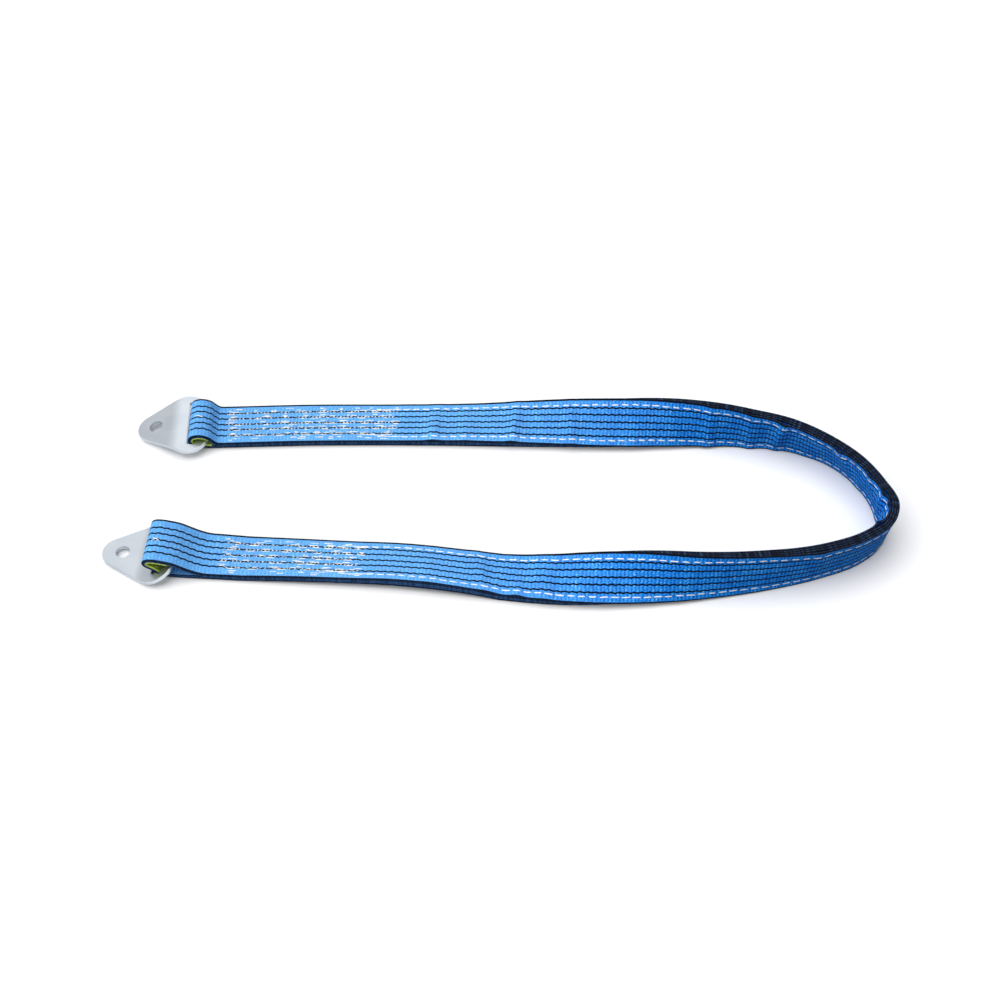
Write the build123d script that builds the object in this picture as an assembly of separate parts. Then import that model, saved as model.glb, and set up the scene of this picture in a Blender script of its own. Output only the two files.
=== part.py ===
# Flat web sling of polyester webbing, laid down in a U, with a pair of steel end plates in each eye.
# One long strap is wound round twice and sewn to itself, so it is four plies thick in the body and two
# in each eye.  The strap is flat at both ends and stands on its edge in the bight, so it carries half a
# turn of twist, and its lower edge lies on the floor all along.
# Millimetres, +Z up, +X from the end plates to the bight, origin at the middle of the foot print.
import os
from math import ceil, cos, hypot, radians, sin, tan

from build123d import *

# Webbing
strap_width = 50.0
ply_thickness = 1.6
ply_count = 4
lap_gap = 0.1            # between plies where they are sewn together
body_gap = 0.5           # between plies in the free legs
bight_gap = 0.9          # between plies where the strap turns back
cut_gap = 0.2            # where one length of webbing is divided from the next
facet_length = 12.0

# Thread
thread_height = 0.3
thread_gap = 0.2         # over the facets of the ply that it is sewn to
seam_offset = 18.0       # the two long seams, each side of the strap's middle
seam_width = 1.2
lap_row_offsets = (-13.8, -8.2, -2.6, 3.0, 8.6, 14.2)
lap_row_width = 1.0
lap_start = 6.0          # from the throat of the eye to the first stitches
far_lap_length = 180.0
near_lap_length = 140.0

# How the strap lies, from the far throat round the bight to the near throat: x and y of its middle line,
# its lean and its ply gap.  The lean is 0 with the inner face up, 90 on edge and 180 with it down
route = [
    (-288, 94, 4, lap_gap), (-200, 97, 4, lap_gap), (-100, 97.5, 4, lap_gap), (-20, 96, 7, body_gap),
    (48, 92.5, 21, body_gap), (118, 87, 41, body_gap), (190, 82, 67, body_gap), (252, 74.5, 89, body_gap),
    (300, 62, 103, bight_gap), (332, 43, 108, bight_gap), (358, 14, 105, bight_gap),
    (372, -19, 97, bight_gap), (376, -42, 87, bight_gap), (367, -63, 81, bight_gap),
    (346, -80, 82, bight_gap), (304, -97, 84, bight_gap), (250, -108, 94, body_gap),
    (189, -114, 108, body_gap), (119, -112, 138, body_gap), (49, -106, 168, body_gap),
    (-16, -97, 183, body_gap), (-102, -86, 186, body_gap), (-142, -83, 185, lap_gap),
    (-199, -79.5, 183, lap_gap), (-273, -75, 178, lap_gap),
]
bight_knot = 12          # the route's point where the far half of the strap meets the near half

# End plates, two to an eye
plate_thickness = 2.2
plate_gap = 0.2
plate_length = 75.0
nose_radius = 16.0
corner_radius = 20.5
hole_diameter = 14.0
hole_setback = 20.0      # from the tip of the nose
crank_setback = 41.0     # where the plate is bent
crank_angle = 18.0
crank_folds = 7          # the bend is rounded by this many small folds
crank_fold_pitch = 1.5
bar_width = 12.0         # the rung that the web goes round, at the wide end
slot_play = 4.2          # clear height in the slot past the web and its liner
slot_side_play = 2.5     # past each edge of the web
slot_corner_radius = 1.0
side_rail_width = 9.0    # beside the slot
edge_chamfer = 0.4

# Liner in each eye
liner_thickness = 1.4
liner_gap = 0.1

# Each eye seen from its edge, along the inner face of its two plies from the lower leg round the fold to
# the upper leg: distance out from the throat, and height as a share of the clear height of the eye
far_eye = {
    "play": 5.9,         # clear height past the plates and the liner
    "line": [(6, 0), (13, 0.04), (18, 0.08), (23, 0.13), (27.2, 0.28), (29, 0.53), (27.3, 0.86),
             (23, 1), (17.5, 0.97), (13, 0.79), (9.4, 0.46), (6.4, 0.19), (3.2, 0.05)],
    "liner_ends": (8.5, 11.0),
    "bar": (25.0, 0.48, -4.0),    # slot side of the bar: distance, height, slope up to the throat
    "plate_shift": -1.2,          # sideways in the eye
    "crank": -1,                  # the bend stands up
}
near_eye = {
    "play": 11.4,
    "line": [(13, 0), (25, 0), (35, 0.01), (42.5, 0.04), (48.4, 0.1), (52.1, 0.25), (55.4, 0.45),
             (58.8, 0.6), (62.0, 0.74), (62.8, 0.86), (60.6, 0.98), (55.5, 1.01), (47, 0.93),
             (38.4, 0.8), (30, 0.53), (21, 0.25), (12, 0.07), (6, 0.015)],
    "liner_ends": (41.0, 41.0),
    "bar": (49.6, 0.35, 18.0),
    "plate_shift": -1.5,
    "crank": 1,                   # the bend hangs down
}
fold_facets = 3          # to each span of an eye's line

leg_thickness = 2 * ply_thickness + lap_gap
slot_height = leg_thickness + liner_gap + liner_thickness + slot_play
plate_width = strap_width + 2 * (slot_side_play + side_rail_width)
plate_pitch = plate_thickness + plate_gap
thread_stand = thread_gap + thread_height


def curve_through(points, knot, along):
    """Point and direction of a smooth line through the points, a share of the way along one span."""
    def slope(i):
        before = points[max(i - 1, 0)]
        after = points[min(i + 1, len(points) - 1)]
        back = hypot(points[i][0] - before[0], points[i][1] - before[1])
        on = hypot(after[0] - points[i][0], after[1] - points[i][1])
        if back == 0:
            return [(b - a) / on for a, b in zip(points[i], after)]
        if on == 0:
            return [(b - a) / back for a, b in zip(before, points[i])]
        return [((b - a) / back * on + (c - b) / on * back) / (back + on)
                for a, b, c in zip(before, points[i], after)]

    start, end = points[knot], points[knot + 1]
    span = hypot(end[0] - start[0], end[1] - start[1])
    s = along
    place = []
    heading = []
    for a, b, slope_a, slope_b in zip(start, end, slope(knot), slope(knot + 1)):
        place.append(a * (2 * s**3 - 3 * s**2 + 1) + b * (3 * s**2 - 2 * s**3)
                     + span * (slope_a * (s**3 - 2 * s**2 + s) + slope_b * (s**3 - s**2)))
        heading.append(6 * (b - a) * (s - s**2)
                       + span * (slope_a * (3 * s**2 - 4 * s + 1) + slope_b * (3 * s**2 - 2 * s)))
    return place, heading


class Station:
    """The strap's cross section at one place along the route."""

    def __init__(self, knot, along):
        (x, y, lean), (run_x, run_y, _) = curve_through([point[:3] for point in route], knot, along)
        self.gap = route[knot][3] * (1 - along) + route[knot + 1][3] * along
        self.thickness = ply_count * ply_thickness + (ply_count - 1) * self.gap
        self.forward = Vector(run_x, run_y, 0).normalized()
        left = Vector(0, 0, 1).cross(self.forward)
        self.across = left * cos(radians(lean)) + Vector(0, 0, sin(radians(lean)))
        self.inner = self.forward.cross(self.across)
        height = (abs(sin(radians(lean))) * strap_width / 2
                  + abs(cos(radians(lean))) * (self.thickness / 2 + thread_stand))
        self.middle = Vector(x, y, height)

    def point(self, across, over):
        """A point of the section, out from the middle towards an edge and over towards the inner face."""
        return self.middle + self.across * across + self.inner * over

    def moved(self, distance):
        """The same section, a little farther along."""
        copy = Station.__new__(Station)
        copy.__dict__.update(self.__dict__)
        copy.middle = self.middle + self.forward * distance
        return copy


def stations(first_knot, last_knot):
    line = [Station(first_knot, 0)]
    for knot in range(first_knot, last_knot):
        span = hypot(route[knot + 1][0] - route[knot][0], route[knot + 1][1] - route[knot][1])
        steps = ceil(span / facet_length)
        line += [Station(knot, step / steps) for step in range(1, steps + 1)]
    return line


def triangles(rows):
    """Facets between neighbouring rows of points, all cut along the same diagonal."""
    faces = []
    for row, next_row in zip(rows, rows[1:]):
        for j in range(len(row) - 1):
            faces.append(Face(Wire.make_polygon([row[j], row[j + 1], next_row[j + 1]])))
            faces.append(Face(Wire.make_polygon([row[j], next_row[j + 1], next_row[j]])))
    return faces


def layer(line, columns, under, over):
    """A band of flat facets along the stations, between two heights over the middle of the strap."""
    lower = [[station.point(u, under(station)) for u in columns] for station in line]
    upper = [[station.point(u, over(station)) for u in columns] for station in line]
    faces = triangles(lower) + triangles(upper)
    for edge in (0, -1):
        faces += triangles([[low[edge], high[edge]] for low, high in zip(lower, upper)])
    for end in (0, -1):
        faces.append(Face(Wire.make_polygon(lower[end] + upper[end][::-1])))
    return Solid(Shell(faces))


def ply(line, number):
    """One ply of the strap; number 0 is the inner face of the U."""
    def over(station):
        return station.thickness / 2 - number * (ply_thickness + station.gap)

    inner, outer = seam_offset - seam_width / 2, seam_offset + seam_width / 2
    columns = [-strap_width / 2, -outer, -inner, inner, outer, strap_width / 2]
    return layer(line, columns, lambda station: over(station) - ply_thickness, over)


def thread(line, offset, width, side):
    """A row of stitches along one face of the strap; side 1 is the inner face, -1 the outer."""
    def foot(station):
        return side * (station.thickness / 2 + thread_gap)

    def crown(station):
        return side * (station.thickness / 2 + thread_stand)

    return layer(line, [offset - width / 2, offset + width / 2], foot, crown)


def lap_rows(line, length, side):
    """Rows of stitches through all four plies, from near the throat to the end of the lap."""
    travelled = 0
    sewn = []
    for station, next_station in zip(line, line[1:] + line[-1:]):
        if lap_start <= travelled <= length:
            sewn.append(station)
        travelled += (next_station.middle - station.middle).length
    return Compound([thread(sewn, offset, lap_row_width, side) for offset in lap_row_offsets])


class Eye:
    """The loop at one end of the strap, its liner and its plates, in the plane of the strap's end."""

    def __init__(self, station, outward, up, shape):
        self.shape = shape
        self.out = station.forward * outward
        self.up = station.inner * up
        self.across = station.across
        self.foot = station.middle - self.up * (station.thickness / 2 - leg_thickness)
        liner_height = liner_thickness + liner_gap
        self.height = plate_pitch + plate_thickness + 2 * liner_height + shape["play"]

    def side_plane(self):
        return Plane(self.foot - self.across * (strap_width / 2), x_dir=self.out, z_dir=self.across)

    def fold_line(self, first, last):
        """The inner face of the two plies, with the ends of its legs at the given points."""
        points = [first] + [(out, share * self.height) for out, share in self.shape["line"]] + [last]
        line = [curve_through(points, knot, step / fold_facets)
                for knot in range(len(points) - 1) for step in range(fold_facets)]
        return [(first, (1, 0))] + line[1:] + [(last, (-1, 0))]

    def band(self, line, inside, outside):
        """A solid between two offsets of the line; positive is out of the eye."""
        near, far = [], []
        for (x, y), (run_x, run_y) in line:
            run = hypot(run_x, run_y)
            near.append((x + run_y / run * inside, y - run_x / run * inside))
            far.append((x + run_y / run * outside, y - run_x / run * outside))
        return self.extruded(near + far[::-1], strap_width)

    def extruded(self, outline, width):
        face = make_face(Polyline(*outline, close=True))
        return extrude(self.side_plane() * face, width, dir=tuple(self.across)).solid()

    def whole_line(self):
        return self.fold_line((cut_gap, 0), (cut_gap, lap_gap))

    def inner_loop(self):
        return self.band(self.whole_line(), 0, ply_thickness)

    def outer_loop(self):
        return self.band(self.whole_line(), ply_thickness + lap_gap, leg_thickness)

    def liner(self):
        """The lining of the fold, which stops part way down each leg."""
        low_end, high_end = self.shape["liner_ends"]
        line = self.whole_line()
        top = max(range(len(line)), key=lambda i: line[i][0][0])
        lower = [item for item in line[:top] if item[0][0] >= low_end]
        upper = [item for item in line[top:] if item[0][0] >= high_end]
        return self.band(lower + upper, -liner_gap - liner_thickness, -liner_gap)

    def plate_plane(self):
        """Middle of the crank on the upper plate's top face, with x towards the throat."""
        out, share, slope = self.shape["bar"]
        up = share * self.height + (plate_pitch + plate_thickness) / 2
        reach = plate_length - bar_width - crank_setback
        crank_out = out + reach * cos(radians(slope))
        crank_up = up - reach * sin(radians(slope))
        nose_slope = radians(slope - self.shape["crank"] * crank_angle)
        origin = (self.foot + self.out * crank_out + self.up * crank_up
                  + self.across * self.shape["plate_shift"])
        x_dir = self.up * sin(nose_slope) - self.out * cos(nose_slope)
        z_dir = self.up * cos(nose_slope) + self.out * sin(nose_slope)
        return Plane(origin, x_dir=x_dir, z_dir=z_dir)

    def plate(self, number):
        """One cranked plate; number 0 is the upper one."""
        fold = self.shape["crank"] * crank_angle / crank_folds
        lean = tan(radians(fold / 2))
        cranked = plate_blank()
        for count in reversed(range(crank_folds)):
            middle = (count - (crank_folds - 1) / 2) * crank_fold_pitch
            nose_cut = Plane((middle, 0, 0), x_dir=(0, 1, 0), z_dir=(1, 0, lean))
            bar_cut = Plane((middle, 0, 0), x_dir=(0, 1, 0), z_dir=(1, 0, -lean))
            nose = split(cranked, nose_cut, keep=Keep.BOTTOM)
            bar = split(cranked, bar_cut, keep=Keep.TOP)
            cranked = nose + bar.rotate(Axis((middle, 0, 0), (0, 1, 0)), -fold)
        cranked = cranked.moved(Location((0, 0, -number * plate_pitch)))
        return (self.plate_plane().location * cranked).solid()


def plate_blank():
    """The plate before it is bent, top face at z 0, with the crank line on the Y axis."""
    nose = Pos(nose_radius - crank_setback, 0) * Circle(nose_radius)
    corner_x = plate_length - corner_radius - crank_setback
    corner_y = plate_width / 2 - corner_radius
    corners = [Pos(corner_x, y) * Circle(corner_radius) for y in (-corner_y, corner_y)]
    outline = make_hull(nose.edges() + corners[0].edges() + corners[1].edges())
    blank = extrude(outline, -plate_thickness)
    rims = blank.faces().sort_by(Axis.Z)
    blank = chamfer(rims[0].edges() + rims[-1].edges(), edge_chamfer)
    slot_middle = plate_length - bar_width - slot_height / 2 - crank_setback
    slot = RectangleRounded(slot_height, strap_width + 2 * slot_side_play, slot_corner_radius)
    cuts = Pos(slot_middle, 0) * slot + Pos(hole_setback - crank_setback, 0) * Circle(hole_diameter / 2)
    return blank - extrude(cuts, -plate_thickness)


def strap_parts(side, line, length):
    parts = {}
    for number in range(ply_count):
        parts[f"{side}_ply_{number + 1}"] = ply(line, number)
    for face, face_side in (("inner", 1), ("outer", -1)):
        rows = [thread(line, offset, seam_width, face_side) for offset in (-seam_offset, seam_offset)]
        parts[f"{side}_{face}_seams"] = Compound(rows)
        end_first = line if side == "far" else line[::-1]
        parts[f"{side}_{face}_lap_stitching"] = lap_rows(end_first, length, face_side)
    return parts


def eye_parts(side, eye):
    return {
        f"{side}_eye_outer_loop": eye.outer_loop(),
        f"{side}_eye_inner_loop": eye.inner_loop(),
        f"{side}_eye_liner": eye.liner(),
        f"{side}_upper_plate": eye.plate(0),
        f"{side}_lower_plate": eye.plate(1),
    }


far_line = stations(0, bight_knot)
near_line = stations(bight_knot, len(route) - 1)
near_line[0] = near_line[0].moved(cut_gap)
far_end = Eye(far_line[0], -1, 1, far_eye)
near_end = Eye(near_line[-1], 1, -1, near_eye)

parts = strap_parts("far", far_line, far_lap_length)
parts.update(strap_parts("near", near_line, near_lap_length))
parts.update(eye_parts("far", far_end))
parts.update(eye_parts("near", near_end))

box = Compound(list(parts.values())).bounding_box()
centring = Location((-box.center().X, -box.center().Y, -box.min.Z))
os.makedirs("parts", exist_ok=True)
for name, part in parts.items():
    export_step(part.moved(centring), f"parts/{name}.step")
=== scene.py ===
import math
import random

import bpy
import numpy as np
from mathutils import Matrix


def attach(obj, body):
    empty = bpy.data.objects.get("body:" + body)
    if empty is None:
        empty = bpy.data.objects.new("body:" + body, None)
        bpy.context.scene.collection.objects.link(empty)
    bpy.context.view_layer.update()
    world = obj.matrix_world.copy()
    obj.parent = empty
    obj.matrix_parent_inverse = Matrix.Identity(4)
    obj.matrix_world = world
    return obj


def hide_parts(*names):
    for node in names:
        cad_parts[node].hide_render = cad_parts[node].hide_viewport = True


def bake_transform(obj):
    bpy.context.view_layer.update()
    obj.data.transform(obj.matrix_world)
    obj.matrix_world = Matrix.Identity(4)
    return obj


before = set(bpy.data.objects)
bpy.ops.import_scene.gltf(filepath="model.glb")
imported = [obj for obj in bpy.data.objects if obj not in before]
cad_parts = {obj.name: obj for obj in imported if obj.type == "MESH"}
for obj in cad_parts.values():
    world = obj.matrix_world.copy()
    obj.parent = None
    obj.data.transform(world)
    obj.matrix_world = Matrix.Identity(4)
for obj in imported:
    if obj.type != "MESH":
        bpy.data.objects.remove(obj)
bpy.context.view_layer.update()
random.seed(7)

strap = {
    "width": 0.050,
    "ply": 0.0016,
    "plies": 4,
    "lapGap": 0.0001,        # between plies where they are sewn together
    "bodyGap": 0.0005,       # along the body, where the long seams hold them
    "bightGap": 0.0009,      # round the bight
    "slackShare": 0.8,       # of a gap, how much an outer ply can take up where it is pressed in
    "beadRoom": 0.00005,     # from a ply's thickened edge to the middle of the gap beside it
    "threadStand": 0.0005,   # the underside is held off the floor by its thread
    "ribPitch": 0.0036,      # weft
    "ribHeight": 0.00010,
    "join": 0.015,           # from the throat of each eye to where its loops join the body's plies
    "edgeStrip": 0.0014,     # between a band's rounded edge and the outermost column of its face
    "faceColumns": 17,       # across the outer plies, the inner plies and the bands of the eyes
    "innerColumns": 5,
    "eyeColumns": 15,
}
lapGap, bodyGap, bightGap = strap["lapGap"], strap["bodyGap"], strap["bightGap"]
routeStep = 0.004                      # between points of the smoothed route
ribStep = strap["ribPitch"] / 4        # between rows of a ribbed band
edgeAngles = (60, 30, 0, -30, -60)     # round a band's edge

# x and y of the strap's middle line, its lean in degrees and the gap between its plies
route = [
    (-0.2880, 0.0940, 4, lapGap), (-0.2000, 0.0970, 4, lapGap), (-0.1000, 0.0975, 4, lapGap),
    (-0.0200, 0.0960, 7, bodyGap), (0.0480, 0.0925, 21, bodyGap), (0.1180, 0.0870, 41, bodyGap),
    (0.1900, 0.0820, 67, bodyGap), (0.2520, 0.0745, 89, bodyGap), (0.3000, 0.0620, 103, bightGap),
    (0.3320, 0.0430, 108, bightGap), (0.3580, 0.0140, 105, bightGap), (0.3720, -0.0190, 97, bightGap),
    (0.3760, -0.0420, 87, bightGap), (0.3670, -0.0630, 81, bightGap), (0.3460, -0.0800, 82, bightGap),
    (0.3040, -0.0970, 84, bightGap), (0.2500, -0.1080, 94, bodyGap), (0.1890, -0.1140, 108, bodyGap),
    (0.1190, -0.1120, 138, bodyGap), (0.0490, -0.1060, 168, bodyGap), (-0.0160, -0.0970, 183, bodyGap),
    (-0.1020, -0.0860, 186, bodyGap), (-0.1420, -0.0830, 185, lapGap), (-0.1990, -0.0795, 183, lapGap),
    (-0.2730, -0.0750, 178, lapGap),
]
frameShift = (0.001234, 0.003015)   # from the route's own origin to the middle of the part's footprint


def smoothLine(points, step):
    # a smooth line through given points; every column rides along, the first two set the spacing
    points = np.array(points, float)
    spans = np.hypot(*(points[1:, :2] - points[:-1, :2]).T)
    chords = (points[1:] - points[:-1]) / spans[:, None]
    slopes = np.empty_like(points)
    slopes[0], slopes[-1] = chords[0], chords[-1]
    before, after = spans[:-1, None], spans[1:, None]
    slopes[1:-1] = (chords[:-1] * after + chords[1:] * before) / (before + after)
    rows = []
    for knot, span in enumerate(spans):
        count = max(1, math.ceil(span / step))
        s = np.arange(count)[:, None] / count
        rows.append(points[knot] * (2 * s**3 - 3 * s**2 + 1) + points[knot + 1] * (3 * s**2 - 2 * s**3)
                    + span * (slopes[knot] * (s**3 - 2 * s**2 + s) + slopes[knot + 1] * (s**3 - s**2)))
    rows.append(points[-1:])
    return np.vstack(rows)


def unit(vectors):
    return vectors / np.linalg.norm(vectors, axis=1)[:, None]


def strapSections(step):
    # evenly spaced cross sections: middle, forward, across, inner, thickness and distance from the far throat
    line = smoothLine(route, routeStep)
    travelled = np.concatenate([[0], np.cumsum(np.hypot(*np.diff(line[:, :2], axis=0).T))])
    along = np.linspace(0, travelled[-1], round(travelled[-1] / step) + 1)
    x, y, lean, gap = (np.interp(along, travelled, line[:, i]) for i in range(4))
    x, y = x + frameShift[0], y + frameShift[1]
    lean = np.radians(lean)
    zero = np.zeros_like(x)
    forward = unit(np.column_stack([np.gradient(x), np.gradient(y), zero]))
    left = np.column_stack([-forward[:, 1], forward[:, 0], zero])
    up = np.array([0, 0, 1.0])
    across = left * np.cos(lean)[:, None] + up * np.sin(lean)[:, None]
    inner = np.cross(forward, across)
    thick = strap["plies"] * strap["ply"] + (strap["plies"] - 1) * gap
    height = (np.abs(np.sin(lean)) * strap["width"] / 2
              + np.abs(np.cos(lean)) * (thick / 2 + strap["threadStand"]))
    return {"along": along, "middle": np.column_stack([x, y, height]), "forward": forward,
            "across": across, "inner": inner, "gap": gap, "thick": thick}


sections = strapSections(ribStep)
strapLength = sections["along"][-1]


def sectionAt(along):
    # the cross sections at any distances along the strap
    return {key: np.column_stack([np.interp(along, sections["along"], value[:, i]) for i in range(3)])
            if value.ndim == 2 else np.interp(along, sections["along"], value)
            for key, value in sections.items()}


# where the top ply stands off the ply below, on the inner face of the far half and bight, then on the outer
# face of the near half: distance along, place across, rise, half length, half width and slant
farLumps = [
    (0.221, -0.006, 0.0028, 0.0070, 0.022, 0.10), (0.252, -0.006, 0.0010, 0.0080, 0.020, 0.00),
    (0.303, -0.005, 0.0036, 0.0062, 0.024, 0.08), (0.361, -0.005, 0.0034, 0.0065, 0.023, -0.10),
    (0.375, 0.006, 0.0014, 0.0100, 0.020, 0.00), (0.432, -0.006, 0.0009, 0.0120, 0.020, 0.20),
    (0.461, 0.004, 0.0010, 0.0100, 0.026, -0.10), (0.503, 0.000, 0.0030, 0.0070, 0.034, 0.00),
    (0.545, -0.002, 0.0026, 0.0075, 0.034, -0.05), (0.575, 0.005, 0.0040, 0.0060, 0.030, 0.10),
    (0.612, -0.006, 0.0012, 0.0110, 0.020, 0.30), (0.652, 0.010, 0.0030, 0.0070, 0.022, -0.35),
    (0.678, -0.002, 0.0015, 0.0060, 0.024, 0.45), (0.695, 0.012, 0.0016, 0.0045, 0.020, -0.20),
    (0.713, 0.010, 0.0036, 0.0055, 0.024, 0.15), (0.735, 0.008, 0.0032, 0.0050, 0.024, -0.15),
    (0.757, 0.012, 0.0030, 0.0050, 0.022, 0.20),
]
nearLumps = [
    (0.825, 0.014, 0.0014, 0.0080, 0.014, 0.20), (0.880, -0.006, 0.0005, 0.0160, 0.018, 0.00),
    (0.958, 0.000, 0.0006, 0.0120, 0.024, 0.10), (1.025, 0.002, 0.0011, 0.0100, 0.028, -0.10),
    (1.051, -0.003, 0.0013, 0.0080, 0.024, 0.10), (1.087, -0.004, 0.0029, 0.0085, 0.022, 0.12),
    (1.109, -0.020, 0.0024, 0.0060, 0.012, 0.00), (1.127, -0.002, 0.0014, 0.0060, 0.022, -0.20),
    (1.148, -0.003, 0.0025, 0.0075, 0.022, 0.30), (1.196, -0.006, 0.0008, 0.0100, 0.020, 0.10),
]


def lumpRise(along, side, lumps):
    rise = np.zeros(np.broadcast(along, side).shape)
    for place, offset, height, length, breadth, slant in lumps:
        apart = ((along - place - slant * side) / length) ** 2 + ((side - offset) / breadth) ** 2
        rise += height * np.exp(-apart)
    return rise


def slackRise(along, side, face):
    # how far an outer ply stands off the ply below; face is 1 for the inner face of the strap, -1 for the outer
    gap = np.interp(along, sections["along"], sections["gap"])
    return np.maximum(lumpRise(along, side, farLumps if face > 0 else nearLumps), -strap["slackShare"] * gap)


def deselectAll():
    if bpy.context.object and bpy.context.object.mode != "OBJECT":
        bpy.ops.object.mode_set(mode="OBJECT")
    bpy.ops.object.select_all(action="DESELECT")


def finishMesh(piece, material, angle=40):
    deselectAll()
    piece.select_set(True)
    bpy.context.view_layer.objects.active = piece
    bpy.ops.object.shade_smooth_by_angle(angle=math.radians(angle))
    piece.data.materials.clear()
    piece.data.materials.append(material)
    return piece


def turnOutward():
    # from edit mode: every face outward, and back to object mode
    bpy.ops.mesh.select_all(action="SELECT")
    bpy.ops.mesh.normals_make_consistent(inside=False)
    bpy.ops.object.mode_set(mode="OBJECT")


def bandProfile(width, thick, columns):
    # a closed ring round a band's section: across, over, and the texture's across, which runs on past the edges
    half, round_ = width / 2, thick / 2
    inside = half - round_ - strap["edgeStrip"]
    face = np.concatenate([[round_ - half], np.linspace(-inside, inside, columns - 2), [half - round_]])
    turn = np.radians(edgeAngles)
    edge = half - round_ + round_ * np.cos(turn)
    lift = round_ * np.sin(turn)
    across = np.concatenate([face, edge, face[::-1], -edge, face[:1]])
    over = np.concatenate([np.full(columns, round_), lift, np.full(columns, -round_), lift[::-1], [round_]])
    beyond = half - round_ + (round_ - lift) + round_
    marks = np.concatenate([face, beyond, face[::-1], -beyond[::-1], face[:1]])
    return across, over, marks


def bandPiece(name, path, width, thick, columns, rib=0.0, rise=None, bead=0.0):
    # a woven band along a path of middles, acrosses and normals; its texture is in metres across and along,
    # and its edges are thicker than its face by twice the bead
    across, over, marks = bandProfile(width, thick, columns)
    rows, ring = len(path["middle"]), len(across)
    deselectAll()
    bpy.ops.mesh.primitive_grid_add(x_subdivisions=ring - 1, y_subdivisions=rows - 1, calc_uvs=True)
    piece = bpy.context.object
    piece.name = name
    mesh = piece.data
    along = path["along"][:, None]
    flat = np.abs(over) > 0.99 * thick / 2
    weave = rib * np.abs(np.sin(np.pi * along / strap["ribPitch"])) * flat * np.sign(over)
    atEdge = (np.abs(across) > width / 2 - thick / 2 - 0.0001).astype(float)
    height = over[None, :] * (1 + atEdge * np.reshape(bead, (-1, 1)) / (thick / 2)) + weave
    if rise is not None:
        height = height + rise(along, across[None, :])
    places = (path["middle"][:, None, :] + path["across"][:, None, :] * across[None, :, None]
              + path["normal"][:, None, :] * height[:, :, None])
    mesh.vertices.foreach_set("co", places.reshape(-1, 3).astype(np.float32).ravel())
    corners = np.empty(len(mesh.loops), np.int32)
    mesh.loops.foreach_get("vertex_index", corners)
    column, row = (corners % ring).reshape(-1, 4), (corners // ring).reshape(-1, 4)
    strip = column.min(axis=1)[:, None]
    onLower = (strip >= columns - 1) & (strip < columns + len(edgeAngles))
    onLast = strip >= 2 * columns + len(edgeAngles) - 1
    u = marks[column]
    u = np.where(onLower & (column == columns + len(edgeAngles)), width / 2 + thick, u)
    u = np.where(onLast & (column == len(marks) - 1), -width / 2 - thick, u)
    uv = np.stack([u, path["along"][row]], axis=-1)
    mesh.uv_layers[0].data.foreach_set("uv", uv.astype(np.float32).ravel())
    mesh.update()
    bpy.ops.object.mode_set(mode="EDIT")
    bpy.ops.mesh.select_all(action="SELECT")
    bpy.ops.mesh.remove_doubles(threshold=0.00002)
    bpy.ops.mesh.fill_holes(sides=0)
    turnOutward()
    return piece


def newMaterial(name):
    material = bpy.data.materials.new(name)
    material.use_nodes = True
    return material, material.node_tree, material.node_tree.nodes["Principled BSDF"]


def calc(tree, operation, first, second=None, third=None, clamp=False):
    node = tree.nodes.new("ShaderNodeMath")
    node.operation = operation
    node.use_clamp = clamp
    for socket, value in zip(node.inputs, (first, second, third)):
        if value is None:
            continue
        if isinstance(value, (int, float)):
            socket.default_value = value
        else:
            tree.links.new(value, socket)
    return node.outputs[0]


def weightedSum(tree, parts):
    total = None
    for value, weight in parts:
        scaled = calc(tree, "MULTIPLY", value, weight)
        total = scaled if total is None else calc(tree, "ADD", total, scaled)
    return total


def ramp(tree, value, low, high):
    # 0 below low, 1 above high, smooth between
    node = tree.nodes.new("ShaderNodeMapRange")
    node.interpolation_type = "SMOOTHSTEP"
    tree.links.new(value, node.inputs["Value"])
    node.inputs["From Min"].default_value = low
    node.inputs["From Max"].default_value = high
    return node.outputs[0]


def mixColour(tree, share, first, second):
    node = tree.nodes.new("ShaderNodeMix")
    node.data_type = "RGBA"
    for socket, value in ((node.inputs["Factor"], share), (node.inputs[6], first), (node.inputs[7], second)):
        if isinstance(value, tuple):
            socket.default_value = value + (1,)
        elif isinstance(value, (int, float)):
            socket.default_value = value
        else:
            tree.links.new(value, socket)
    return node.outputs[2]


def blendValue(tree, share, first, second):
    node = tree.nodes.new("ShaderNodeMix")
    for socket, value in ((node.inputs[0], share), (node.inputs[2], first), (node.inputs[3], second)):
        if isinstance(value, float):
            socket.default_value = value
        else:
            tree.links.new(value, socket)
    return node.outputs[0]


def noise(tree, vector, scale, detail=2.0):
    node = tree.nodes.new("ShaderNodeTexNoise")
    node.inputs["Scale"].default_value = scale
    node.inputs["Detail"].default_value = detail
    tree.links.new(vector, node.inputs["Vector"])
    return node.outputs["Fac"]


def stretched(tree, vector, x, y):
    node = tree.nodes.new("ShaderNodeMapping")
    node.inputs["Scale"].default_value = (x, y, 1)
    tree.links.new(vector, node.inputs["Vector"])
    return node.outputs[0]


def pieceUv(tree):
    uv = tree.nodes.new("ShaderNodeUVMap")
    split = tree.nodes.new("ShaderNodeSeparateXYZ")
    tree.links.new(uv.outputs[0], split.inputs[0])
    return uv.outputs[0], split.outputs[0], split.outputs[1]


def addBump(tree, shader, height, strength, distance):
    bump = tree.nodes.new("ShaderNodeBump")
    bump.inputs["Strength"].default_value = strength
    bump.inputs["Distance"].default_value = distance
    tree.links.new(height, bump.inputs["Height"])
    tree.links.new(bump.outputs[0], shader.inputs["Normal"])


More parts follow.
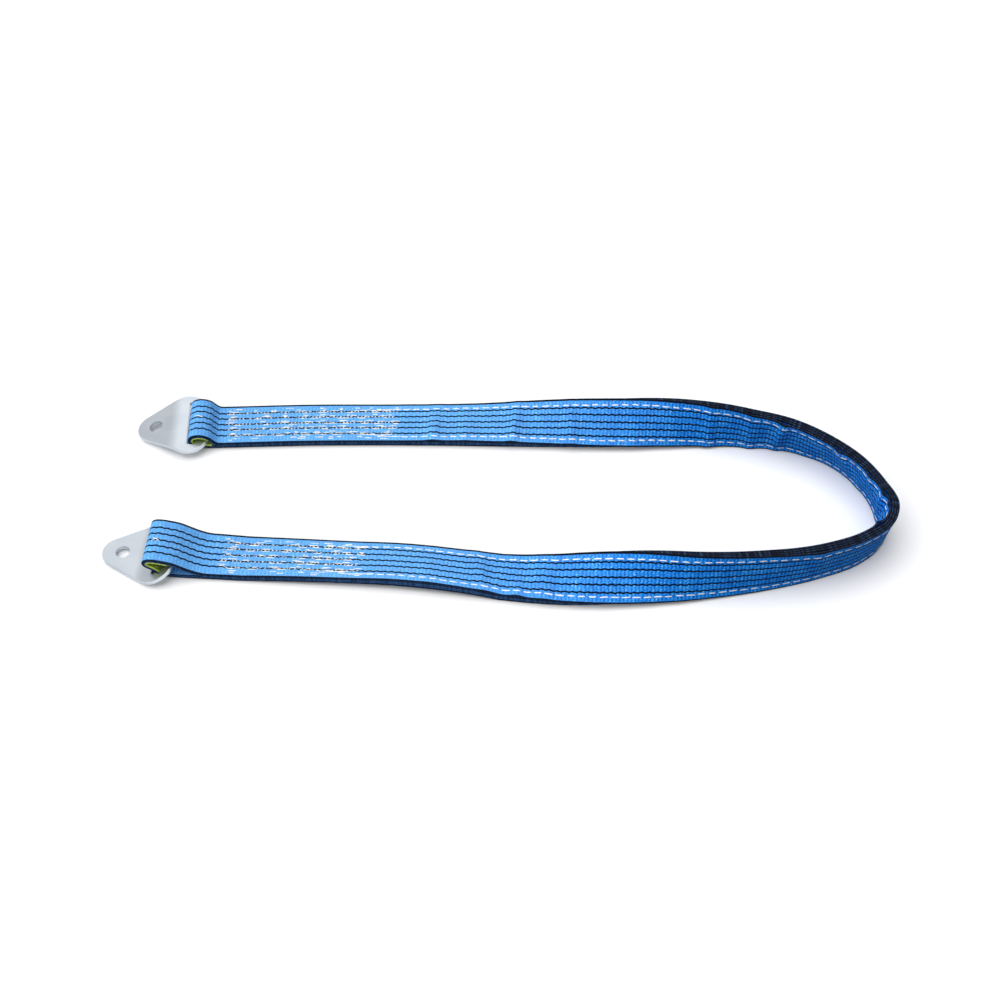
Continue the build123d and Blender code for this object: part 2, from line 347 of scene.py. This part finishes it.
webbingLook = {
    "deep": (0.002, 0.070, 0.420),
    "blue": (0.006, 0.220, 0.830),
    "light": (0.050, 0.410, 0.970),
    "glint": (0.420, 0.780, 1.000),
    # painted sheen: a paler blue over the flat lengths near the eyes, for the sheen that light from above gives
    # them
    "paintedSheen": (0.330, 0.690, 0.940),
    "paintedSheenShare": 0.36,                                      # of the painted sheen, near the eyes; none round the bight
    "sheenless": (0.36, 1.10, 0.16),                              # along, the part without painted sheen and its soft ends
    "toneWeights": (0.24, 1.10, 0.38, 0.62, 0.05),            # floats, grain, patches, yarns, ribs
    "toneSteps": {"blue": (0.80, 1.17), "light": (1.14, 1.50), "glint": (1.42, 1.64)},
    "tracer": (0.001, 0.004, 0.012),
    "speck": (0.760, 0.730, 0.560),
    "fuzz": (0.620, 0.830, 0.970),
    "selvage": (0.003, 0.005, 0.012),
    # painted shade and light on the edges: the upper edges near black as painted shade, the lower edges a
    # lighter navy as painted light where light falls on them from the front
    "upperEdge": (0.006, 0.008, 0.018),
    "upperEdgeDots": (0.040, 0.085, 0.180),
    "lowerEdge": (0.014, 0.045, 0.125),
    "lowerEdgeDots": (0.060, 0.170, 0.420),
    "tracers": (0.0148, 0.0078, 0.0003, -0.0067, -0.0143),   # across
    "zigzag": (0.0072, 0.00045),                              # length and height
    "tracerWidth": 0.00105,
    "tracerDrift": 0.0008,                                    # side to side, besides the zigzag
    "warpPitch": 0.0018,
    "yarnPitch": 0.0009,
    "selvageWidth": 0.0014,
    "upperSelvage": 0.0007,                                   # wider by this along the upper edge
    "lapEnds": (0.004, 0.180, 1.264, 1.399),                  # along, where the laps' sewing shows
}


def between(tree, value, low, high, soft):
    # 1 from low to high, 0 outside
    return calc(tree, "MULTIPLY", ramp(tree, value, low - soft, low + soft),
                calc(tree, "SUBTRACT", 1.0, ramp(tree, value, high - soft, high + soft)))


def weaveHeight(tree, across, along):
    # floats of warp yarn over the weft, in ribs across the band that wander a little from column to column
    look = webbingLook
    column = calc(tree, "DIVIDE", across, look["warpPitch"])
    swing = calc(tree, "SINE", calc(tree, "MULTIPLY", calc(tree, "FLOOR", column), 2.4))
    stagger = calc(tree, "MULTIPLY", swing, 0.11)
    phase = calc(tree, "ADD", calc(tree, "DIVIDE", along, strap["ribPitch"]), stagger)
    swell = ramp(tree, calc(tree, "SINE", calc(tree, "MULTIPLY", phase, 2 * math.pi)), -0.75, 0.35)
    crown = calc(tree, "ABSOLUTE", calc(tree, "SINE", calc(tree, "MULTIPLY", column, math.pi)))
    return calc(tree, "MULTIPLY", swell, ramp(tree, crown, 0.0, 0.6))


def webbingMaterial(name, lowerEdge, lowerEdgeDots):
    look = webbingLook
    material, tree, shader = newMaterial(name)
    uv, across, along = pieceUv(tree)
    floats = weaveHeight(tree, across, along)
    ribs = calc(tree, "SINE", calc(tree, "MULTIPLY", along, 2 * math.pi / strap["ribPitch"]))
    grain = noise(tree, stretched(tree, uv, 1000, 620), 1.0, 3.0)
    yarns = noise(tree, stretched(tree, uv, 460, 330), 1.0, 1.0)
    patches = noise(tree, stretched(tree, uv, 40, 75), 1.0, 2.0)
    tone = weightedSum(tree, zip((floats, grain, patches, yarns, ribs), look["toneWeights"]))
    colour = look["deep"]
    for shade, (low, high) in look["toneSteps"].items():
        colour = mixColour(tree, ramp(tree, tone, low, high), colour, look[shade])
    # painted sheen: paler blue near the eyes, none round the bight, where the faces stand upright
    sheenless = between(tree, along, *look["sheenless"])
    paintedSheen = calc(tree, "MULTIPLY", calc(tree, "SUBTRACT", 1.0, sheenless), look["paintedSheenShare"])
    colour = mixColour(tree, paintedSheen, colour, look["paintedSheen"])

    length, height = look["zigzag"]
    phase = calc(tree, "PINGPONG", calc(tree, "DIVIDE", along, length / 2), 1.0)
    wave = calc(tree, "MULTIPLY", calc(tree, "SUBTRACT", phase, 0.5), 2 * height)
    drift = noise(tree, stretched(tree, uv, 0, 90), 1.0)
    wander = calc(tree, "MULTIPLY", calc(tree, "SUBTRACT", drift, 0.5), look["tracerDrift"])
    path = calc(tree, "ADD", calc(tree, "ADD", across, wave), wander)
    nearest = None
    for place in look["tracers"]:
        gap = calc(tree, "ABSOLUTE", calc(tree, "SUBTRACT", path, place))
        nearest = gap if nearest is None else calc(tree, "MINIMUM", nearest, gap)
    lapEnds = look["lapEnds"]
    lapped = calc(tree, "ADD", between(tree, along, lapEnds[0], lapEnds[1], 0.004),
                  between(tree, along, lapEnds[2], lapEnds[3], 0.004))
    solid, faded = 0.60 * look["tracerWidth"], 1.10 * look["tracerWidth"]
    line = calc(tree, "SUBTRACT", 1.0, ramp(tree, nearest, solid, faded))
    colour = mixColour(tree, line, colour, look["tracer"])
    crest = ramp(tree, calc(tree, "ABSOLUTE", calc(tree, "SUBTRACT", phase, 0.5)), 0.26, 0.46)
    luck = noise(tree, stretched(tree, uv, 500, 260), 1.0, 1.0)
    luck = calc(tree, "ADD", luck, calc(tree, "MULTIPLY", calc(tree, "SUBTRACT", lapped, 1.0), 0.30))
    speck = calc(tree, "MULTIPLY", calc(tree, "MULTIPLY", line, crest), ramp(tree, luck, 0.46, 0.54))
    colour = mixColour(tree, speck, colour, look["speck"])
    fuzzNoise = noise(tree, stretched(tree, uv, 620, 190), 1.0, 2.0)
    nearLine = calc(tree, "SUBTRACT", 1.0, ramp(tree, nearest, 0.0008, 0.0030))
    fuzz = calc(tree, "ADD", fuzzNoise, calc(tree, "MULTIPLY", nearLine, 0.05))
    fuzz = calc(tree, "MULTIPLY", ramp(tree, fuzz, 0.60, 0.78), calc(tree, "MULTIPLY", lapped, 0.35))
    colour = mixColour(tree, fuzz, colour, look["fuzz"])

    half = strap["width"] / 2
    side = calc(tree, "ABSOLUTE", across)
    teeth = calc(tree, "ADD", side, calc(tree, "MULTIPLY", ribs, 0.00016))
    upper = calc(tree, "GREATER_THAN", across, 0.0)
    teeth = calc(tree, "ADD", teeth, calc(tree, "MULTIPLY", upper, look["upperSelvage"]))
    start = half - strap["ply"] / 2 - look["selvageWidth"] + 0.0005
    colour = mixColour(tree, ramp(tree, teeth, start - 0.0002, start + 0.0002), colour, look["selvage"])
    onEdge = ramp(tree, side, half, half + 0.0001)
    rim = calc(tree, "ABSOLUTE", calc(tree, "SUBTRACT", side, half + strap["ply"] / 2))
    streaks = noise(tree, stretched(tree, uv, 1700, 330), 1.0, 2.0)
    dots = weightedSum(tree, ((streaks, 0.6), (grain, 0.4)))
    # painted shade on the upper edges and painted light on the lower ones, each with its dots
    upperColour = mixColour(tree, ramp(tree, dots, 0.51, 0.62), look["upperEdge"], look["upperEdgeDots"])
    lowerColour = mixColour(tree, ramp(tree, dots, 0.40, 0.62), lowerEdge, lowerEdgeDots)
    edgeColour = mixColour(tree, upper, lowerColour, upperColour)
    edgeColour = mixColour(tree, ramp(tree, rim, 0.00040, 0.00065), edgeColour, look["selvage"])
    colour = mixColour(tree, onEdge, colour, edgeColour)
    tree.links.new(colour, shader.inputs["Base Color"])

    shader.inputs["Specular IOR Level"].default_value = 0.08
    tree.links.new(calc(tree, "ADD", calc(tree, "MULTIPLY", grain, 0.25), 0.55), shader.inputs["Roughness"])
    fine = calc(tree, "SINE", calc(tree, "MULTIPLY", across, 2 * math.pi / look["yarnPitch"]))
    relief = weightedSum(tree, ((floats, 0.4), (fine, 0.15), (grain, 0.6), (line, -0.5)))
    addBump(tree, shader, relief, 0.6, 0.00025)
    return material


threadLook = {"colour": (0.97, 0.96, 0.92), "shade": (0.84, 0.87, 0.88), "twist": 0.0011}


def threadMaterial():
    look = threadLook
    material, tree, shader = newMaterial("whiteThread")
    uv, across, along = pieceUv(tree)
    turns = 2 * math.pi / look["twist"]
    lay = calc(tree, "SINE", calc(tree, "MULTIPLY", calc(tree, "ADD", across, along), turns))
    # the thread turns to the greyer shade colour in patches, where this noise runs low
    greyPatches = noise(tree, stretched(tree, uv, 120, 60), 1.0)
    tone = calc(tree, "ADD", calc(tree, "MULTIPLY", lay, 0.2), greyPatches)
    colour = mixColour(tree, ramp(tree, tone, 0.2, 0.6), look["shade"], look["colour"])
    tree.links.new(colour, shader.inputs["Base Color"])
    shader.inputs["Roughness"].default_value = 0.55
    shader.inputs["Specular IOR Level"].default_value = 0.3
    addBump(tree, shader, lay, 0.4, 0.0001)
    return material


linerLook = {
    "bright": (0.640, 0.800, 0.120),
    "mid": (0.330, 0.440, 0.060),
    "dark": (0.090, 0.130, 0.020),
    "pitch": 0.0022,
}


def linerMaterial():
    look = linerLook
    material, tree, shader = newMaterial("greenLiner")
    uv, across, along = pieceUv(tree)
    turns = 2 * math.pi / look["pitch"]
    weave = calc(tree, "MULTIPLY", calc(tree, "SINE", calc(tree, "MULTIPLY", across, turns)),
                 calc(tree, "SINE", calc(tree, "MULTIPLY", along, turns)))
    grain = noise(tree, stretched(tree, uv, 700, 500), 1.0, 3.0)
    tone = calc(tree, "ADD", calc(tree, "MULTIPLY", weave, 0.3), grain)
    colour = mixColour(tree, ramp(tree, tone, 0.2, 0.6), look["dark"], look["mid"])
    colour = mixColour(tree, ramp(tree, tone, 0.5, 0.8), colour, look["bright"])
    onEdge = ramp(tree, calc(tree, "ABSOLUTE", across), 0.0240, 0.0250)
    colour = mixColour(tree, onEdge, colour, look["bright"])
    tree.links.new(colour, shader.inputs["Base Color"])
    shader.inputs["Roughness"].default_value = 0.8
    addBump(tree, shader, tone, 0.7, 0.0003)
    return material


steelLook = {
    "light": (0.840, 0.905, 0.975),
    "dull": (0.785, 0.850, 0.925),
    "roughness": (0.30, 0.40),
}


def steelMaterial():
    look = steelLook
    material, tree, shader = newMaterial("zincPlatedSteel")
    place = tree.nodes.new("ShaderNodeTexCoord").outputs["Object"]
    clouds = noise(tree, place, 45.0, 4.0)
    fine = noise(tree, place, 900.0, 2.0)
    colour = mixColour(tree, ramp(tree, clouds, 0.35, 0.65), look["dull"], look["light"])
    tree.links.new(colour, shader.inputs["Base Color"])
    shader.inputs["Metallic"].default_value = 1.0
    low, high = look["roughness"]
    roughness = calc(tree, "ADD", calc(tree, "MULTIPLY", clouds, high - low), low)
    tree.links.new(roughness, shader.inputs["Roughness"])
    addBump(tree, shader, fine, 0.15, 0.00008)
    return material


# the inner plies and loops get the lighter navy of painted light on their lower edges; the outer plies and
# loops keep the near black of the upper edges there, dotted with navy
webbing = webbingMaterial("blueWebbing", webbingLook["lowerEdge"], webbingLook["lowerEdgeDots"])
faceWebbing = webbingMaterial("blueFaceWebbing", webbingLook["upperEdge"], webbingLook["lowerEdge"])
thread = threadMaterial()
lining = linerMaterial()
steel = steelMaterial()
print("materials made")


def makePly(number):
    outer = number in (0, strap["plies"] - 1)
    step = ribStep if outer else 2 * ribStep
    along = np.arange(strap["join"], strapLength - strap["join"] + step / 2, step)
    at = sectionAt(along)
    level = at["thick"] / 2 - number * (strap["ply"] + at["gap"]) - strap["ply"] / 2
    path = {"middle": at["middle"] + at["inner"] * level[:, None], "across": at["across"],
            "normal": at["inner"], "along": along}
    face = 1 if number == 0 else -1

    def slack(along, side):
        return face * slackRise(along, side, face)

    rib = strap["ribHeight"] if outer else 0.0
    bead = np.maximum(0, at["gap"] / 2 - strap["beadRoom"])
    columns = strap["faceColumns"] if outer else strap["innerColumns"]
    piece = bandPiece(f"ply{number + 1}", path, strap["width"], strap["ply"], columns, rib,
                      slack if outer else None, bead)
    finishMesh(piece, faceWebbing if outer else webbing)
    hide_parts(f"far_ply_{number + 1}", f"near_ply_{number + 1}")
    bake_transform(piece)


for number in range(strap["plies"]):
    makePly(number)
print("plies made")


# the eyes: each seen from its side along the inner face of its two plies, distance out from the throat and
# height over the lower leg, from the lower leg round the fold to the upper leg
farEye = {
    "body": "far_eye",
    "leg": "far_half",
    "along": 0.0,
    "outward": -1,
    "line": [(0.0060, 0), (0.0130, 0.0005), (0.0180, 0.0011), (0.0230, 0.0018), (0.0272, 0.0038),
             (0.0290, 0.0072), (0.0273, 0.0116), (0.0230, 0.0135), (0.0175, 0.0131), (0.0130, 0.0107),
             (0.0094, 0.0062), (0.0064, 0.0026), (0.0032, 0.0007)],
    "linerEnds": (0.0085, 0.0110),
}
nearEye = {
    "body": "near_eye",
    "leg": "near_half",
    "along": strapLength,
    "outward": 1,
    "line": [(0.0130, 0), (0.0250, 0), (0.0350, 0.0002), (0.0425, 0.0008), (0.0484, 0.0019),
             (0.0521, 0.0048), (0.0554, 0.0086), (0.0588, 0.0114), (0.0620, 0.0141), (0.0628, 0.0163),
             (0.0606, 0.0186), (0.0555, 0.0192), (0.0470, 0.0177), (0.0384, 0.0152), (0.0300, 0.0101),
             (0.0210, 0.0048), (0.0120, 0.0013), (0.0060, 0.0003)],
    "linerEnds": (0.0410, 0.0410),
}
liner = {"thick": 0.0014, "gap": 0.0001, "width": 0.0502, "rib": 0.00008}
eyeStep = 0.0009     # between points of an eye's smoothed line


def eyeFrame(eye):
    # origin on the inner face of the lower leg at the throat, then out, up and across
    at = sectionAt(np.array([eye["along"]]))
    out = at["forward"][0] * eye["outward"]
    up = at["inner"][0] * -eye["outward"]
    leg = 2 * strap["ply"] + strap["lapGap"]
    foot = at["middle"][0] - up * (at["thick"][0] / 2 - leg)
    return foot, out, up, at["across"][0]


def eyePath(eye, stand, tuck, ends=None):
    # from the upper leg out round the fold to the lower leg, standing off the line of the eye
    foot, out, up, across = eyeFrame(eye)
    points = [(0.0, 0.0)] + eye["line"] + [(0.0, strap["lapGap"])]
    line = smoothLine(points, eyeStep)[::-1]
    if ends:
        fold = line[:, 0].argmax()
        count = np.arange(len(line))
        keep = np.where(count > fold, line[:, 0] >= ends[0], line[:, 0] >= ends[1])
        line = line[keep]
    run = np.gradient(line, axis=0)
    run /= np.hypot(run[:, 0], run[:, 1])[:, None]
    if not ends:
        run[0], run[-1] = (1, 0), (-1, 0)
    line = line + np.column_stack([-run[:, 1], run[:, 0]]) * stand
    places = foot + out * line[:, :1] + up * line[:, 1:]
    acrosses = np.tile(across, (len(places), 1))
    if tuck:
        inside = np.arange(0.001, tuck + 0.0001, 0.001)
        at = sectionAt(eye["along"] - eye["outward"] * inside)
        level = strap["lapGap"] / 2 + stand
        upper = at["middle"] - eye["outward"] * at["inner"] * level
        lower = at["middle"] + eye["outward"] * at["inner"] * level
        places = np.vstack([upper[::-1], places, lower])
        acrosses = np.vstack([at["across"][::-1], acrosses, at["across"]])
    return evenPath(places, acrosses, eye, tuck)


def evenPath(places, acrosses, eye, tuck):
    travelled = np.concatenate([[0], np.cumsum(np.linalg.norm(np.diff(places, axis=0), axis=1))])
    count = round(travelled[-1] / ribStep) + 1
    along = np.linspace(0, travelled[-1], count)
    middle = np.column_stack([np.interp(along, travelled, places[:, i]) for i in range(3)])
    across = unit(np.column_stack([np.interp(along, travelled, acrosses[:, i]) for i in range(3)]))
    tangent = unit(np.gradient(middle, axis=0))
    normal = unit(np.cross(across, tangent))
    marks = eye["along"] - eye["outward"] * tuck + eye["outward"] * along
    return {"middle": middle, "across": across, "normal": normal, "along": marks, "length": travelled[-1]}


def eyeName(eye):
    return eye["body"].replace("_eye", "")


def bendEye(piece, eye):
    foot, out, *_ = eyeFrame(eye)
    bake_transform(piece)


def makeLoop(eye, kind, stand):
    path = eyePath(eye, stand, strap["join"])
    rib = strap["ribHeight"] if kind == "outer" else 0.0
    name = eyeName(eye)
    piece = bandPiece(f"{name}Eye{kind.title()}Loop", path, strap["width"], strap["ply"],
                      strap["eyeColumns"], rib)
    finishMesh(piece, faceWebbing if kind == "outer" else webbing)
    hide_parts(f"{name}_eye_{kind}_loop")
    bendEye(piece, eye)


def makeLiner(eye):
    stand = -liner["gap"] - liner["thick"] / 2
    path = eyePath(eye, stand, 0, eye["linerEnds"])
    name = eyeName(eye)
    piece = bandPiece(f"{name}EyeLiner", path, liner["width"], liner["thick"],
                      strap["eyeColumns"], liner["rib"])
    finishMesh(piece, lining)
    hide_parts(f"{name}_eye_liner")
    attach(piece, eye["body"])


for eye in (farEye, nearEye):
    makeLoop(eye, "inner", strap["ply"] / 2)
    makeLoop(eye, "outer", strap["ply"] * 1.5 + strap["lapGap"])
    makeLiner(eye)
print("eyes made")


# stitches, each one a short blunt length of thread laid on the webbing
stitch = {
    "width": 0.0013,
    "height": 0.0005,
    "lift": 0.2,             # of its height, its middle over the webbing's face
    "sink": 0.00005,
    "blunt": 0.35,
}


def onStrap(face):
    # a face of the strap: 1 for its inner face, -1 for its outer
    def surface(along, side):
        at = sectionAt(along)
        level = face * (at["thick"] / 2 + slackRise(along, side, face))
        return at["middle"] + at["across"] * side[:, None] + at["inner"] * level[:, None], at["inner"] * face
    return surface


def layStitches(name, stitches, surface):
    # stitches are (along, side, length, slant, width, bow)
    deselectAll()
    bpy.ops.mesh.primitive_uv_sphere_add(segments=8, ring_count=6, radius=1)
    piece = bpy.context.object
    piece.name = name
    bpy.ops.object.mode_set(mode="EDIT")
    bpy.ops.mesh.select_all(action="SELECT")
    bpy.ops.transform.rotate(value=math.radians(90), orient_axis="Y", center_override=(0, 0, 0))
    bpy.ops.object.mode_set(mode="OBJECT")
    copies = piece.modifiers.new("copies", "ARRAY")
    copies.count = len(stitches)
    copies.use_relative_offset = False
    bpy.ops.object.modifier_apply(modifier="copies")
    mesh = piece.data
    points = np.empty(len(mesh.vertices) * 3, np.float32)
    mesh.vertices.foreach_get("co", points)
    points = points.reshape(len(stitches), -1, 3).astype(float)
    along, side, length, slant, width, bow = (np.array(values)[:, None] for values in zip(*stitches))
    reach = np.sign(points[:, :, 0]) * np.abs(points[:, :, 0]) ** stitch["blunt"]
    x = reach * length / 2
    y = points[:, :, 1] * width / 2
    a = (along + x).ravel()
    b = (side + y + x * slant + bow * (1 - reach ** 2)).ravel()
    place, normal = surface(a, b)
    lift = points[:, :, 2].ravel() * 0.5 + stitch["lift"]
    rise = strap["ribHeight"] - stitch["sink"] + lift * stitch["height"]
    place = place + normal * rise[:, None]
    mesh.vertices.foreach_set("co", place.astype(np.float32).ravel())
    corners = np.empty(len(mesh.loops), np.int32)
    mesh.loops.foreach_get("vertex_index", corners)
    marks = np.column_stack([y.ravel(), a])[corners]
    mesh.uv_layers[0].data.foreach_set("uv", marks.astype(np.float32).ravel())
    mesh.update()
    bpy.ops.object.mode_set(mode="EDIT")
    turnOutward()
    return finishMesh(piece, thread, 60)


seam = {
    "sides": (-0.0184, 0.0178),
    "pitch": 0.0102,
    "length": 0.0076,
    "start": 0.180,          # past the far lap
    "end": 0.140,            # before the near lap
    "wander": (0.0004, 40, 900),   # side to side, its turns along and its shift across
}


def makeSeams(face, name):
    stitches = []
    reach, turns, shift = seam["wander"]
    for side in seam["sides"]:
        along = seam["start"]
        while along < strapLength - seam["end"]:
            wander = reach * math.sin(along * turns + side * shift)
            stitches.append((along, side + wander + random.uniform(-0.0002, 0.0002),
                             seam["length"] * random.uniform(0.84, 1.08), random.uniform(-0.08, 0.05),
                             stitch["width"] * random.uniform(0.85, 1.1), random.uniform(-0.0002, 0.0002)))
            along += seam["pitch"] * random.uniform(0.95, 1.05)
    piece = layStitches(f"{name}Seams", stitches, onStrap(face))
    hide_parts(f"far_{name}_seams", f"near_{name}_seams")
    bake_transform(piece)


makeSeams(1, "inner")
makeSeams(-1, "outer")

lap = {
    "beside": (0.0027, 0.0014, -0.0014),   # rows beside each tracer, and how full each one is
    "fullness": (0.55, 1.0, 0.75),
    "farLength": 0.182,
    "nearLength": 0.142,
    "start": 0.006,
    "busy": 0.070,           # the sewing thickens from the throat to here
    "outerRows": [(-0.0184, 0.8), (-0.0206, 0.5), (0.0196, 0.6)],   # place across and how full
    "looseEnds": [           # back from the lap's end, then side, length, slant, width and bow
        (0.026, -0.0166, 0.030, -0.09, 0.60, 0.0006),
        (0.006, -0.0181, 0.024, -0.03, 0.55, -0.0004),
        (0.010, 0.0172, 0.028, 0.05, 0.60, 0.0005),
    ],
}


def makeLap(face, name, end):
    stitches = []

    def add(along, side, length, slant, width, bow=0.0):
        place = along if end == "far" else strapLength - along
        stitches.append((place, side, length, slant, stitch["width"] * width, bow))

    rows = [(tracer + offset, full) for tracer in webbingLook["tracers"]
            for offset, full in zip(lap["beside"], lap["fullness"])]
    for side, full in rows + lap["outerRows"]:
        along = lap["start"] + random.uniform(0, 0.012)
        while along < lap[f"{end}Length"]:
            length = random.uniform(0.0028, 0.0095)
            add(along, side + random.uniform(-0.0004, 0.0004), length, random.uniform(-0.05, 0.05),
                random.uniform(0.50, 0.88), random.uniform(-0.0003, 0.0003))
            spread = 2.4 - 1.5 * min(1.0, along / lap["busy"])
            along += length + random.uniform(0.001, 0.019) * spread / full
    for side in webbingLook["tracers"]:
        along = lap["start"] + random.uniform(0, 0.006)
        while along < lap[f"{end}Length"]:
            length = random.uniform(0.0012, 0.0026)
            add(along, side + random.uniform(-0.0006, 0.0006), length, random.uniform(-0.12, 0.12),
                random.uniform(0.35, 0.60))
            along += strap["ribPitch"] * random.choice((1, 2, 3, 4))
    # loose ends of thread that wander from the laps to the seams
    for back, side, length, slant, width, bow in lap["looseEnds"]:
        add(lap[f"{end}Length"] - back, side, length, slant, width, bow)
    piece = layStitches(f"{end}{name.title()}LapStitching", stitches, onStrap(face))
    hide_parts(f"{end}_{name}_lap_stitching")
    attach(piece, f"{end}_half")


def onFold(eye):
    # the outer face of an eye's outer loop
    path = eyePath(eye, strap["ply"] * 2 + strap["lapGap"], strap["join"])
    order = np.argsort(path["along"])
    marks = path["along"][order]
    out = np.sign(path["normal"][0] @ eyeFrame(eye)[2])

    def surface(along, side):
        middle, across, normal = (
            np.column_stack([np.interp(along, marks, path[key][order, i]) for i in range(3)])
            for key in ("middle", "across", "normal"))
        return middle + across * side[:, None], normal * out
    return surface


def makeFoldThread(eye, name, stitches):
    piece = layStitches(name, stitches, onFold(eye))
    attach(piece, eye["body"])


# ends of thread left on the folds, over the middle tracer
makeFoldThread(farEye, "farFoldThread", [(-0.0270, 0.0012, 0.0090, -0.20, 0.0009, 0.0010)])
makeFoldThread(nearEye, "nearFoldThread", [(strapLength + 0.0600, 0.0008, 0.0070, 0.45, 0.0009, 0.0004),
                                           (strapLength + 0.0615, 0.0008, 0.0060, -0.55, 0.0008, 0.0)])

for end in ("far", "near"):
    makeLap(1, "inner", end)
    makeLap(-1, "outer", end)
print("stitching made")

for node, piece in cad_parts.items():
    if node.endswith("_plate"):
        finishMesh(piece, steel, 30)
print("plates finished")


# floor, light and camera
studio = {
    "floorSize": 12,
    "floorLevel": -0.0002,
    "floor": (0.96, 0.96, 0.97),
    "floorBounce": (0.16, 0.16, 0.17),
    "floorShine": (0.70, 0.71, 0.72),
    "sky": 0.78,
    "skyAtHorizon": 0.42,
    "skyLeft": 1.40,         # brighter on the left than on the right
    "skyRight": 0.60,
    "shine": 1.0,            # what the steel sees of the room
    "shineLeft": 0.55,
    "lamps": {"key": (1.25, 60, -0.10, -0.15), "side": (1.10, 70, 0.25, -1.00)},   # energy, angle and tilts
    "target": (frameShift[0], frameShift[1], 0.0),
    "distance": 1.510,
    "elevation": 50,
    "lens": 54.36,
    "sensor": 36,
}


def makeFloor():
    deselectAll()
    bpy.ops.mesh.primitive_plane_add(size=studio["floorSize"], location=(0, 0, studio["floorLevel"]))
    floor = bpy.context.object
    floor.name = "floor"
    material, tree, shader = newMaterial("paleFloor")
    light = tree.nodes.new("ShaderNodeLightPath")
    colour = mixColour(tree, light.outputs["Is Glossy Ray"], studio["floorBounce"], studio["floorShine"])
    colour = mixColour(tree, light.outputs["Is Camera Ray"], colour, studio["floor"])
    tree.links.new(colour, shader.inputs["Base Color"])
    shader.inputs["Roughness"].default_value = 0.9
    shader.inputs["Specular IOR Level"].default_value = 0.0
    floor.data.materials.append(material)


def makeWorld():
    world = bpy.data.worlds.new("softRoom")
    bpy.context.scene.world = world
    world.use_nodes = True
    tree = world.node_tree
    ground = tree.nodes["Background"]
    direction = tree.nodes.new("ShaderNodeTexCoord").outputs["Generated"]
    split = tree.nodes.new("ShaderNodeSeparateXYZ")
    tree.links.new(direction, split.inputs[0])
    light = tree.nodes.new("ShaderNodeLightPath")
    low = studio["skyAtHorizon"]
    sky = calc(tree, "ADD", calc(tree, "MULTIPLY", ramp(tree, split.outputs[2], 0.0, 0.9), 1 - low), low)
    leftward = ramp(tree, split.outputs[0], 0.8, -0.8)
    side = calc(tree, "MULTIPLY", leftward, studio["skyLeft"] - studio["skyRight"])
    side = calc(tree, "ADD", side, studio["skyRight"])
    sky = calc(tree, "MULTIPLY", calc(tree, "MULTIPLY", sky, side), studio["sky"])
    left = studio["shineLeft"]
    shine = calc(tree, "ADD", calc(tree, "MULTIPLY", ramp(tree, split.outputs[0], -0.6, 0.05), 1 - left), left)
    shine = calc(tree, "MULTIPLY", shine, studio["shine"])
    strength = blendValue(tree, light.outputs["Is Glossy Ray"], sky, shine)
    strength = blendValue(tree, light.outputs["Is Camera Ray"], strength, 1.0)
    tree.links.new(strength, ground.inputs["Strength"])
    ground.inputs["Color"].default_value = (1, 1, 1, 1)


def makeLights():
    for name, (energy, angle, tiltX, tiltY) in studio["lamps"].items():
        bpy.ops.object.light_add(type="SUN", location=(0, 0, 2), rotation=(tiltX, tiltY, 0))
        lamp = bpy.context.object
        lamp.name = name
        lamp.data.energy = energy
        lamp.data.angle = math.radians(angle)
        lamp.visible_glossy = False   # the steel shows the room, not the lamps


def makeCamera():
    tilt = math.radians(studio["elevation"])
    x, y, z = studio["target"]
    away = studio["distance"]
    bpy.ops.object.camera_add(location=(x, y - away * math.cos(tilt), z + away * math.sin(tilt)),
                              rotation=(math.pi / 2 - tilt, 0, 0))
    camera = bpy.context.object
    camera.data.sensor_width = studio["sensor"]
    camera.data.lens = studio["lens"]
    bpy.context.scene.camera = camera


makeFloor()
makeWorld()
makeLights()
makeCamera()
bpy.context.scene.view_settings.view_transform = "Standard"
print("studio made")
